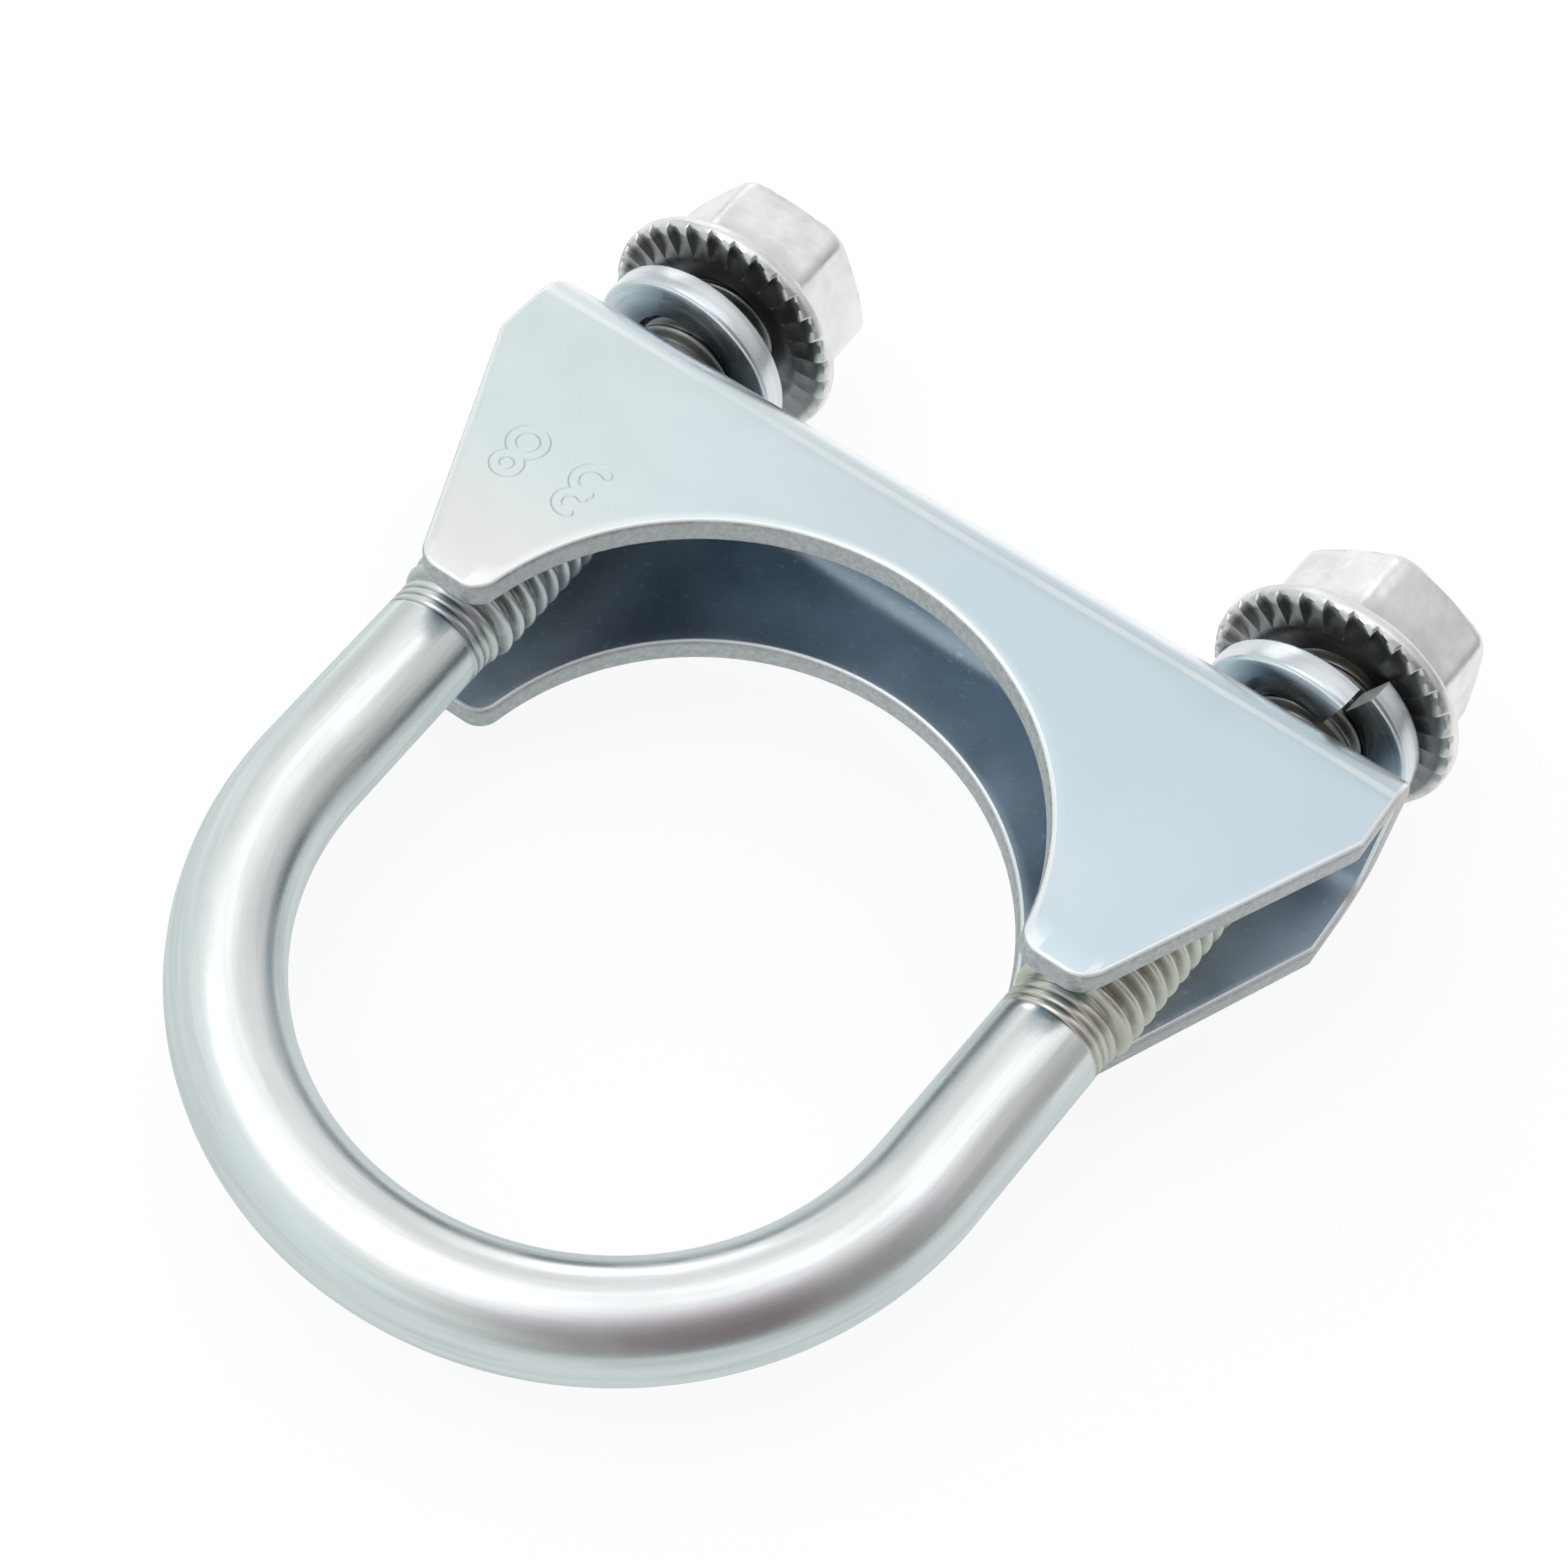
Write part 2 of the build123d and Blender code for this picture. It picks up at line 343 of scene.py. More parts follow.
class Finish(Nodes):
    """A node material around one metal shader."""

    def __init__(self, name, metallic, roughness):
        self.material = bpy.data.materials.new(name)
        self.material.use_nodes = True
        super().__init__(self.material.node_tree)
        self.shader = self.tree.nodes["Principled BSDF"]
        self.shader.inputs["Metallic"].default_value = metallic
        self.shader.inputs["Roughness"].default_value = roughness

    def place(self, name=None, stretch=(1, 1, 1)):
        """Points to hang a pattern on: the object's own, or places kept on the surface."""
        if name:
            source = self.node("ShaderNodeAttribute", attribute_name=name).outputs["Vector"]
        else:
            source = self.node("ShaderNodeTexCoord").outputs["Object"]
        inputs = {"Vector": source, "Scale": stretch}
        return self.node("ShaderNodeMapping", inputs).outputs["Vector"]

    def kept(self, name):
        """A number kept on the surface."""
        return self.node("ShaderNodeAttribute", attribute_name=name).outputs["Fac"]

    def noise(self, where, scale, detail=3, roughness=0.5):
        """A soft random pattern from 0 to 1."""
        inputs = {"Vector": where, "Scale": scale, "Detail": detail, "Roughness": roughness}
        return self.node("ShaderNodeTexNoise", inputs).outputs["Fac"]

    def bump(self, height, distance, strength=1.0, over=None):
        """Raises the surface by height times distance, over another bump where given."""
        inputs = {"Height": height, "Distance": distance, "Strength": strength}
        if over:
            inputs["Normal"] = over
        return self.node("ShaderNodeBump", inputs).outputs["Normal"]

    def set(self, **sockets):
        """Joins the results to the shader's sockets."""
        for key, value in sockets.items():
            self.tree.links.new(value, self.shader.inputs[key.replace("_", " ")])
        return self.material


def plain_finish(name, metallic, roughness, surface_colour):
    """A metal that looks the same all over."""
    finish = Finish(name, metallic, roughness)
    finish.shader.inputs["Base Color"].default_value = surface_colour
    return finish.material


def tinted(surface_colour, by):
    """A colour made paler or darker."""
    return (*(min(1.0, part * by) for part in surface_colour[:3]), 1.0)


def bolt_finish():
    """Bright zinc on drawn rod: satin streaks along it, duller threads, painted shade in the
    threads' grooves and a band of painted shade between the web and the nuts.
    """
    colours = bpy.context.scene.clamp_colours
    zinc = Finish("bolt_zinc", 1.0, 0.2)
    x, y, _ = zinc.axes(zinc.place())
    streaks = zinc.noise(zinc.place("rod_place", (0.06, 1, 1)), 1600, 4)
    clouds = zinc.noise(zinc.place("rod_place"), 160)
    thread, root = zinc.kept("thread"), zinc.kept("thread_root")
    plain = zinc.mix(zinc.span(streaks, 0.35, 0.75), colours.bolt, colours.bolt_streak)

    left_to_right = (-10 * MM, 10 * MM)
    crest = zinc.mix(zinc.span(x, *left_to_right), colours.thread, colours.thread_warm)
    # Painted shade in the thread's grooves, a little lighter on the right leg.
    grime = zinc.times(root, zinc.span(zinc.noise(zinc.place(), 900), 0.25, 0.6, 0.6, 1.0))
    grime = zinc.times(grime, zinc.span(x, *left_to_right, 1.0, 0.65))
    # Painted shade on the thread between the web and the nut.
    in_web, in_nut = (24 * MM, 27 * MM), (36 * MM, 39 * MM)
    shade_between_parts = zinc.times(zinc.span(y, *in_web, 0.0, 0.75), zinc.span(y, *in_nut, 1.0, 0.0))
    threaded = zinc.mix(zinc.math("MAXIMUM", grime, shade_between_parts), crest, colours.thread_root)

    dull = zinc.times(zinc.span(clouds, 0.4, 0.7), 0.1)
    rough = zinc.math("ADD", zinc.span(streaks, 0.3, 0.8, 0.22, 0.34), dull)
    lines = zinc.bump(streaks, 0.01 * MM, 0.35)
    return zinc.set(
        Base_Color=zinc.mix(thread, plain, threaded),
        Roughness=zinc.math("ADD", rough, zinc.times(thread, 0.1)),
        Normal=zinc.bump(zinc.noise(zinc.place(), 420, 4), 0.03 * MM, 0.25, lines),
    )


def digit_strokes(zinc):
    """How far each point of the upper flange is from the strokes of the stamped pipe size, 38.
    The digits stand on their heads, so their tops point down -Y and they read along -X."""
    x, y, z = zinc.axes(zinc.place())
    top_y, bottom_y = 11.15 * MM, 13.3 * MM
    three_x, eight_x = -19.6 * MM, -24.6 * MM
    opening = math.radians(62)

    def away(dx, dy):
        """Length of a flat vector."""
        both = zinc.node("ShaderNodeCombineXYZ", {0: dx, 1: dy}).outputs[0]
        return zinc.node("ShaderNodeVectorMath", {0: both}, operation="LENGTH").outputs["Value"]

    def ring(centre_x, centre_y, radius, turn=None):
        """Distance from a ring's line, left open on both sides of +X by an angle."""
        dx, dy = zinc.math("SUBTRACT", x, centre_x), zinc.math("SUBTRACT", y, centre_y)
        line = zinc.math("ABSOLUTE", zinc.math("SUBTRACT", away(dx, dy), radius))
        if turn is None:
            return line
        dy = zinc.math("ABSOLUTE", dy)
        end_x = zinc.math("SUBTRACT", dx, radius * math.cos(turn))
        end = away(end_x, zinc.math("SUBTRACT", dy, radius * math.sin(turn)))
        drawn = zinc.math("LESS_THAN", zinc.times(dx, math.tan(turn)), dy)
        undrawn = zinc.math("SUBTRACT", 1.0, drawn)
        return zinc.math("ADD", zinc.times(drawn, line), zinc.times(undrawn, end))

    eight = zinc.math("MINIMUM", ring(eight_x, bottom_y, 1.1 * MM), ring(eight_x, top_y, 0.8 * MM))
    three = zinc.math("MINIMUM", ring(three_x, bottom_y, 1.1 * MM, opening),
                      ring(three_x, top_y, 0.85 * MM, opening))
    far_below = zinc.math("LESS_THAN", z, 0.0)
    return zinc.math("ADD", zinc.math("MINIMUM", eight, three), far_below)


def saddle_finish():
    """Bright bluish zinc on pressed sheet: soft tints, a painted highlight on the fold and the
    stamped pipe size.
    """
    colours = bpy.context.scene.clamp_colours
    zinc = Finish("saddle_zinc", 1.0, 0.3)
    x, y, _ = zinc.axes(zinc.place())
    wander = zinc.span(zinc.noise(zinc.place(), 60, 2), 0.3, 0.7, -8 * MM, 8 * MM)
    left = zinc.span(zinc.math("ADD", x, wander), -30 * MM, 35 * MM, 1.0, 0.0)
    foot = zinc.times(left, zinc.span(y, 3 * MM, 15 * MM, 1.0, 0.0))
    base = zinc.mix(left, colours.saddle, colours.saddle_left)
    base = zinc.mix(foot, base, colours.saddle_foot)

    # Painted highlight: the fold's curve, found from the surface's facing, takes a brighter colour.
    facing = zinc.axes(zinc.node("ShaderNodeTexCoord").outputs["Normal"])
    upright = zinc.math("ABSOLUTE", facing["Z"])
    bent = zinc.times(zinc.span(upright, 0.8, 0.98, 1.0, 0.0), zinc.span(upright, 0.05, 0.35))
    base = zinc.mix(bent, base, colours.saddle_fold_highlight)
    # Painted highlight: a broken bright line where the fold leaves the flange.
    line = zinc.times(zinc.span(upright, 0.97, 0.98), zinc.span(upright, 0.99, 0.9965, 1.0, 0.0))
    highlighted = zinc.times(line, zinc.span(zinc.noise(zinc.place(), 150, 4), 0.3, 0.6, 0.2, 0.6))
    base = zinc.mix(highlighted, base, colours.painted_edge_highlight)

    strokes = digit_strokes(zinc)
    stamp = zinc.span(strokes, 0.26 * MM, 0.4 * MM)
    from_wall = zinc.math("ABSOLUTE", zinc.math("SUBTRACT", strokes, 0.33 * MM))
    base = zinc.mix(zinc.span(from_wall, 0.02 * MM, 0.1 * MM, 0.4, 0.0), base, colours.stamp)
    patches = zinc.noise(zinc.place(), 130, 4, 0.6)
    return zinc.set(
        Base_Color=base,
        Metallic=zinc.math("SUBTRACT", 1.0, zinc.times(highlighted, 0.5)),
        Roughness=zinc.span(patches, 0.3, 0.7, 0.26, 0.38),
        Normal=zinc.bump(stamp, 0.04 * MM, 0.7),
    )


def inside_shade_finish():
    """Painted shade inside the channel: darker, bluer zinc with pale specks."""
    deep = bpy.context.scene.clamp_colours.saddle_inside_shade
    zinc = Finish("saddle_inside_shade", 1.0, 0.35)
    clouds = zinc.noise(zinc.place(), 110)
    specks = zinc.noise(zinc.place(), 1700, 4, 0.7)
    clouded = zinc.mix(zinc.span(clouds, 0.35, 0.7), deep, tinted(deep, 1.35))
    return zinc.set(
        Base_Color=zinc.mix(zinc.span(specks, 0.56, 0.72, 0.0, 0.6), clouded, tinted(deep, 1.8)),
        Roughness=zinc.span(clouds, 0.3, 0.7, 0.36, 0.5),
    )


def cut_edge_finish():
    """The sheet's sheared edge: grey, granular and only thinly plated."""
    grey = bpy.context.scene.clamp_colours.cut_edge
    edge = Finish("saddle_cut_edge", 0.9, 0.5)
    grain = edge.noise(edge.place(), 2200, 5, 0.7)
    return edge.set(
        Base_Color=edge.mix(edge.span(grain, 0.35, 0.65), grey, tinted(grey, 1.35)),
        Roughness=edge.span(grain, 0.3, 0.7, 0.42, 0.6),
        Normal=edge.bump(grain, 0.1 * MM, 0.7),
    )


def washer_finish():
    """Zinc on spring wire, with fine marks round it, and painted shade darkening it towards the
    hole.
    """
    colours = bpy.context.scene.clamp_colours
    zinc = Finish("washer_zinc", 1.0, 0.25)
    marks = zinc.noise(zinc.place("wire_place", (0.08, 1, 1)), 2400, 4)
    clouds = zinc.noise(zinc.place(), 300)
    wire = zinc.mix(zinc.span(marks, 0.4, 0.8), colours.washer, tinted(colours.washer, 0.78))
    # Painted shade towards the hole, across the wire's width.
    outwards = zinc.axes(zinc.place("wire_place"))["Y"]
    hole_side_shade = zinc.span(outwards, -1.4 * MM, 1.1 * MM, 0.95, 0.0)
    return zinc.set(
        Base_Color=zinc.mix(hole_side_shade, wire, colours.washer_hole_shade),
        Roughness=zinc.span(clouds, 0.3, 0.7, 0.2, 0.36),
        Normal=zinc.bump(marks, 0.02 * MM, 0.4),
    )


def nut_finish():
    """Matt, slightly lumpy zinc on forged nuts, with painted shade in their hollows."""
    colours = bpy.context.scene.clamp_colours
    zinc = Finish("nut_zinc", 1.0, 0.4)
    lumps = zinc.noise(zinc.place(), 420)
    grain = zinc.noise(zinc.place(), 2400, 4, 0.6)
    patches = zinc.noise(zinc.place(), 260, 5, 0.6)
    coat = zinc.mix(zinc.span(patches, 0.4, 0.7), colours.nut, colours.nut_shade)
    return zinc.set(
        # Painted shade in the hollows
        Base_Color=zinc.mix(zinc.kept("hollow"), coat, colours.nut_hollow_shade),
        Roughness=zinc.span(lumps, 0.3, 0.7, 0.28, 0.42),
        Normal=zinc.bump(grain, 0.02 * MM, 0.3, zinc.bump(lumps, 0.2 * MM, 0.5)),
    )


class CLAMP_OT_bolt(bpy.types.Operator):
    """Builds the bent bolt with a rolled thread on both legs"""

    bl_idname = "clamp.build_bolt"
    bl_label = "Bolt"

    ring_points = 56
    rings_per_turn, smooth_rings, bend_rings = 14, 24, 180
    crest_flank, ring_flank = (0.12, 0.85), (0.35, 0.9)  # where a wave's side rises, from 0 to 1
    thread_rise, ring_rise = (0.7, 1.6), 0.2 * MM  # the first in lengths of the run-out
    dish_share, dish_depth = 0.62, 0.25 * MM  # the ends are dished in
    # Shares of painted shade in the run-out rings and on the dished ends
    ring_grime, end_grime = 0.65, 0.3

    def path(self, bolt):
        """The rod's middle line from the left leg's end to the right leg's, the way it runs at
        each point, and how high up its leg the point is."""
        splay = bolt.leg_splay
        start_y = -bolt.bend_drop - bolt.bend_radius * math.sin(splay)
        turns = (bolt.leg_top - bolt.thread_start) / bolt.thread_pitch
        smooth = np.linspace(start_y, bolt.thread_start, self.smooth_rings)[:-1]
        threaded = np.linspace(bolt.thread_start, bolt.leg_top, int(turns * self.rings_per_turn))
        y = np.concatenate([smooth, threaded])
        right = np.stack([leg_x(y), y, 0 * y], 1)
        left = right[::-1] * [-1, 1, 1]
        turn = np.linspace(math.pi + splay, 2 * math.pi - splay, self.bend_rings)[1:-1]
        bend = np.stack([np.cos(turn), np.sin(turn), 0 * turn], 1) * bolt.bend_radius
        line = np.concatenate([left, bend - [0, bolt.bend_drop, 0], right])
        up = np.array([math.sin(splay), math.cos(splay), 0])
        ahead = np.concatenate([
            np.tile(up * [1, -1, 1], (len(left), 1)),
            np.stack([-np.sin(turn), np.cos(turn), 0 * turn], 1),
            np.tile(up, (len(right), 1)),
        ])
        height = np.concatenate([y[::-1], np.full(len(turn), start_y), y])
        return line, ahead, height

    def ring_radii(self, bolt, travelled, height, around):
        """The rod's radius at every point with the rolled thread and the end chamfers, and how
        far the point is threaded and how deep in a groove."""
        def wave(turns):
            """1 at whole turns and 0 half-way between them."""
            return np.abs(2 * (turns % 1) - 1)

        turn = (travelled / bolt.thread_pitch)[:, None] - around[None, :] / (2 * math.pi)
        crest = smooth_step(*self.crest_flank, wave(turn))
        screw = bolt.thread_root + (bolt.thread_radius - bolt.thread_root) * crest
        climbed = (height - bolt.thread_start)[:, None]
        full = smooth_step(*(share * bolt.run_out for share in self.thread_rise), climbed)
        begun = smooth_step(0, self.ring_rise, climbed)
        ring = smooth_step(*self.ring_flank, 1 - wave(2 * turn)) * begun * (1 - full)
        radii = bolt.rod_radius + (screw - bolt.rod_radius) * full - bolt.run_out_depth * ring
        limit = bolt.thread_radius - bolt.end_chamfer + (bolt.leg_top - height)
        grooved = np.maximum((1 - crest) * full, self.ring_grime * ring)
        return np.minimum(radii, limit[:, None]), begun, grooved

    def execute(self, context):
        bolt = context.scene.clamp_bolt
        line, ahead, height = self.path(bolt)
        travelled = np.concatenate([[0], np.cumsum(np.linalg.norm(np.diff(line, axis=0), axis=1))])
        around = np.linspace(0, 2 * math.pi, self.ring_points, endpoint=False)
        radii, threaded, grooved = self.ring_radii(bolt, travelled, height, around)
        out, side = np.cos(around), np.sin(around)
        inwards = np.cross([0, 0, 1], ahead)
        spokes = out[None, :, None] * inwards[:, None] + side[None, :, None] * [0, 0, 1]
        points = line[:, None] + radii[..., None] * spokes
        rings, count = points.shape[:2]
        faces = grid_faces(rings, count, loop_rows=True, flip=True).tolist()
        places = np.stack(np.broadcast_arrays(travelled[:, None], radii * out, radii * side), -1)
        caps = []
        for end, ring, back in ((0, 0, 1), (1, rings - 1, -1)):
            dish = line[ring] + (points[ring] - line[ring]) * self.dish_share
            caps.append(dish + ahead[ring] * back * self.dish_depth)
            edge = ring * count + np.arange(count)
            inner = (rings + end) * count + np.arange(count)
            strip = np.stack([edge, np.roll(edge, -1), np.roll(inner, -1), inner], 1)
            faces += (strip if end else strip[:, ::-1]).tolist()
            faces.append((inner if end else inner[::-1]).tolist())
        ends = np.ones(len(caps) * count)
        # thread_root holds the share of painted shade at each point
        kept = {
            "rod_place": np.concatenate([places.reshape(-1, 3), *caps]),
            "thread": np.concatenate([np.broadcast_to(threaded, radii.shape).ravel(), ends]),
            "thread_root": np.concatenate([grooved.ravel(), ends * self.end_grime]),
        }
        points = np.concatenate([points.reshape(-1, 3), *caps])
        piece = add_piece("bent_bolt", points, faces, [bolt_finish()], kept)
        stand_for(piece, "u_bolt", "bolt")
        return {"FINISHED"}


class CLAMP_OT_saddle(bpy.types.Operator):
    """Builds the pressed saddle from its outline and its folded section"""

    bl_idname = "clamp.build_saddle"
    bl_label = "Saddle"

    # Finish numbers: inside is the painted shade inside the channel, worn the painted highlight on
    # the rims
    skin, cut, inside, worn = range(4)
    arc_points, inner_points, slope_points, outer_points, shoulder_points = 34, 10, 9, 8, 6
    flange_rows, fold_rows, web_rows = 12, 9, 6
    hole_points = 64
    arc_gap = 0.12  # radians between the arc's end and the foot's rounding
    sharp_angle = math.radians(50)

    @staticmethod
    def arc(x, y, radius, start, end, count):
        """Points on part of a circle, its angles in radians."""
        turn = np.linspace(start, end, count)
        return np.stack([x + radius * np.cos(turn), y + radius * np.sin(turn)], 1)

    def lower_edge(self, saddle):
        """The flange's lower edge from the middle of the arc to the right end, as points (x, y)."""
        shoulder_y = saddle.web_height - saddle.end_height
        foot_x = math.sqrt(saddle.arc_radius ** 2 - saddle.foot_height ** 2) + saddle.foot_width
        slope = math.atan2(shoulder_y - saddle.foot_height, saddle.half_length - foot_x)
        away = slope - math.pi / 2

        inner = saddle.foot_inner_radius
        inner_y = saddle.foot_height + inner
        inner_x = math.sqrt((saddle.arc_radius + inner) ** 2 - inner_y ** 2)
        meet = math.atan2(inner_y, inner_x)

        def beside_slope(radius, y=None, x=None):
            """Where a rounding's centre lies so that it touches the sloping side."""
            if x is None:
                reach = (y - saddle.foot_height) / math.tan(slope)
                return foot_x + reach - radius / math.sin(slope), y
            climb = (x - saddle.half_length) * math.tan(slope)
            return x, shoulder_y + climb + radius / math.cos(slope)

        outer = saddle.foot_outer_radius
        outer_centre = beside_slope(outer, y=saddle.foot_height + outer)
        shoulder = saddle.shoulder_radius
        shoulder_centre = beside_slope(shoulder, x=saddle.half_length - shoulder)
        down, right = 1.5 * math.pi, 2 * math.pi
        foot = math.pi + meet + self.arc_gap
        arc = self.arc(0, 0, saddle.arc_radius, math.pi / 2, meet, self.arc_points)
        inner_corner = self.arc(inner_x, inner_y, inner, foot, down, self.inner_points)
        outer_corner = self.arc(*outer_centre, outer, down, right + away, self.outer_points)
        end = self.arc(*shoulder_centre, shoulder, right + away, right, self.shoulder_points)
        side = np.linspace(outer_corner[-1], end[0], self.slope_points)[1:-1]
        return np.concatenate([arc, inner_corner, outer_corner, side, end])

    def section(self, saddle, low_y):
        """The outer face's line from the lower flange's edge over the web to the upper one's, as
        points (y, z) with their outward directions."""
        lean = math.tan(saddle.flare)
        radius = saddle.fold_radius
        fold_y = saddle.web_height - radius
        fold_z = saddle.half_width + lean * radius - radius / math.cos(saddle.flare)
        up = np.linspace(low_y, fold_y + radius * math.sin(saddle.flare), self.flange_rows)[:-1]
        flange = np.stack([up, saddle.half_width + lean * (saddle.web_height - up)], 1)
        turn = np.linspace(saddle.flare, math.pi / 2, self.fold_rows)
        fold = np.stack([fold_y + radius * np.sin(turn), fold_z + radius * np.cos(turn)], 1)
        over = np.linspace(fold_z, 0, self.web_rows)[1:]
        web = np.stack([np.full(len(over), saddle.web_height), over], 1)
        half = np.concatenate([flange, fold, web])
        faces_out = np.concatenate([
            np.tile([math.sin(saddle.flare), math.cos(saddle.flare)], (len(flange), 1)),
            np.stack([np.sin(turn), np.cos(turn)], 1),
            np.tile([1.0, 0.0], (len(web), 1)),
        ])
        flipped = half[-2::-1] * [1, -1], faces_out[-2::-1] * [1, -1]
        return np.concatenate([half, flipped[0]]), np.concatenate([faces_out, flipped[1]])

    def shell(self, saddle):
        """The closed skin of the folded sheet with its rims worn round, and each face's finish."""
        half = self.lower_edge(saddle)
        edge = np.concatenate([half[:0:-1] * [-1, 1], half])
        ahead = np.gradient(edge, axis=0)
        ahead /= np.linalg.norm(ahead, axis=1, keepdims=True)
        outwards = np.stack([ahead[:, 1], -ahead[:, 0]], 1)
        outwards[0], outwards[-1] = (-1, 0), (1, 0)

        def layer(depth, inset):
            """A grid of points at a depth under the outer face, drawn in from its outline."""
            columns = []
            for (x, y), (nx, ny) in zip(edge, outwards):
                line, out = self.section(saddle, y - inset * ny)
                across = np.full(len(line), x - inset * nx)
                columns.append(np.column_stack([across, line - out * depth]))
            return np.array(columns)

        soft, sheet = saddle.edge_bevel, saddle.sheet
        part = soft * (1 - math.sqrt(0.5))
        outer, inner = layer(0, soft), layer(sheet, soft)
        columns, rows = outer.shape[:2]
        grid = np.arange(columns * rows).reshape(columns, rows)
        rim = np.concatenate([grid[:, 0], grid[-1, 1:], grid[-2::-1, -1], grid[0, -2:0:-1]])
        worn = [layer(*place).reshape(-1, 3)[rim]
                for place in ((part, part), (soft, 0), (sheet - soft, 0), (sheet - part, part))]
        points = [outer.reshape(-1, 3), *worn, inner.reshape(-1, 3)]
        under = grid.size + len(worn) * len(rim)
        rings = [rim, *np.arange(grid.size, under).reshape(len(worn), -1), rim + under]
        faces = [grid_faces(columns, rows), grid_faces(columns, rows, start=under, flip=True)]
        faces += [np.stack([a, b, np.roll(b, -1), np.roll(a, -1)], 1)
                  for a, b in zip(rings, rings[1:])]
        # The outermost strip round each face's rim gets the painted highlight; the three strips
        # between get the cut edge's grey
        finishes = (self.skin, self.inside, self.worn, self.cut, self.cut, self.cut, self.worn)
        finish = np.repeat(finishes, [len(strip) for strip in faces])
        return np.concatenate(points), np.concatenate(faces), finish

    def execute(self, context):
        saddle = context.scene.clamp_saddle
        points, faces, finish = self.shell(saddle)
        # A bright material standing in for the highlight on the rims
        highlighted = plain_finish("saddle_painted_highlight", 0.5, 0.3, context.scene.clamp_colours.painted_edge_highlight)
        materials = [saddle_finish(), cut_edge_finish(), inside_shade_finish(), highlighted]
        piece = add_piece("pressed_saddle", points, faces, materials)
        piece.data.polygons.foreach_set("material_index", finish.astype(np.int32))
        cutters = [self.leg_hole(saddle, side) for side in SIDES]
        for cutter in cutters:
            hole = piece.modifiers.new("leg_hole", "BOOLEAN")
            hole.object, hole.operation, hole.solver = cutter, "DIFFERENCE", "EXACT"
        self.settle(piece, context)
        for cutter in cutters:
            bpy.data.objects.remove(cutter)
        piece.data.set_sharp_from_angle(angle=self.sharp_angle)
        piece.modifiers.new("flat_faces", "WEIGHTED_NORMAL").keep_sharp = True
        self.settle(piece, context)
        stand_for(piece, "saddle", "saddle")
        return {"FINISHED"}

    @staticmethod
    def settle(piece, context):
        """Makes the piece's modifiers a part of its mesh."""
        shaped = piece.evaluated_get(context.evaluated_depsgraph_get())
        piece.data = bpy.data.meshes.new_from_object(shaped)
        piece.modifiers.clear()

    def leg_hole(self, saddle, side):
        """A round cutter through the web, where a leg passes."""
        count, radius = self.hole_points, saddle.hole_radius
        turn = (np.arange(count) + 0.5) * 2 * math.pi / count
        x, z = side * saddle.hole_x + radius * np.cos(turn), radius * np.sin(turn)
        ends = [np.stack([x, np.full(count, saddle.web_height + reach), z], 1)
                for reach in (-2 * saddle.sheet, saddle.sheet)]
        faces = grid_faces(2, count, loop_rows=True).tolist()
        faces += [list(range(count)), list(range(count, 2 * count))[::-1]]
        cutter = add_piece("leg_hole", np.array(ends), faces, [])
        cutter.display_type = "WIRE"
        return cutter


class CLAMP_OT_washers(bpy.types.Operator):
    """Builds the two split spring washers"""

    bl_idname = "clamp.build_washers"
    bl_label = "Spring washers"

    wire, sheared = range(2)
    rings, corner_points = 150, 5
    sharp_angle = math.radians(40)

    def wire_section(self, washer):
        """The wire's rounded rectangle as points (outwards, upwards) round its middle."""
        radius = washer.edge_radius
        half = np.array([washer.width / 2 - radius, washer.thickness / 2 - radius])
        turn = np.linspace(0, math.pi / 2, self.corner_points)
        corners = []
        for k, sign in enumerate(((1, 1), (-1, 1), (-1, -1), (1, -1))):
            spin = turn + k * math.pi / 2
            corners.append(half * sign + radius * np.stack([np.cos(spin), np.sin(spin)], 1))
        return np.concatenate(corners)

    def build(self, washer, side, y, split_angle, materials):
        """One washer, its lower end's underside at height y."""
        section = self.wire_section(washer)
        share = np.linspace(0, 1, self.rings)
        sweep = 2 * math.pi - washer.split
        turn = split_angle - washer.split / 2 - share * sweep
        middle = washer.bore_radius + washer.width / 2
        climb = math.atan2(washer.rise, middle * sweep)
        out = np.stack([np.cos(turn), np.sin(turn), 0 * turn], 1)
        onwards = np.stack([np.sin(turn), -np.cos(turn), 0 * turn], 1)
        upright = math.cos(climb) * np.array([0, 0, 1]) - math.sin(climb) * onwards
        height = washer.thickness / 2 + washer.rise * share
        line = middle * out + height[:, None] * [0, 0, 1]
        across, above = section[None, :, :1], section[None, :, 1:]
        points = line[:, None] + across * out[:, None] + above * upright[:, None]
        points = on_leg(side, y, points.reshape(-1, 3))
        count = len(section)
        faces = grid_faces(self.rings, count, loop_rows=True, flip=True).tolist()
        faces += [list(range(count))[::-1], [(self.rings - 1) * count + k for k in range(count)]]
        along = (share * sweep * middle)[:, None, None]
        places = np.concatenate(np.broadcast_arrays(along, across, above), -1)
        name = SIDES[side]
        piece = add_piece(f"{name}_washer", points, faces, materials,
                          {"wire_place": places.reshape(-1, 3)})
        for end in piece.data.polygons[-2:]:
            end.material_index = self.sheared
        piece.data.set_sharp_from_angle(angle=self.sharp_angle)
        stand_for(piece, f"{name}_spring_washer", f"{name}_washer")

    def execute(self, context):
        washer, bolt = context.scene.clamp_washer, context.scene.clamp_bolt
        ends = plain_finish("washer_end", 0.6, 0.35, context.scene.clamp_colours.washer_end)
        materials = [washer_finish(), ends]
        lean = (washer.bore_radius + washer.width) * math.sin(bolt.leg_splay)
        for side, split_angle in ((LEFT, washer.left_angle), (RIGHT, washer.right_angle)):
            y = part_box(f"{SIDES[side]}_spring_washer")[0].y + lean
            self.build(washer, side, y, split_angle, materials)
        return {"FINISHED"}


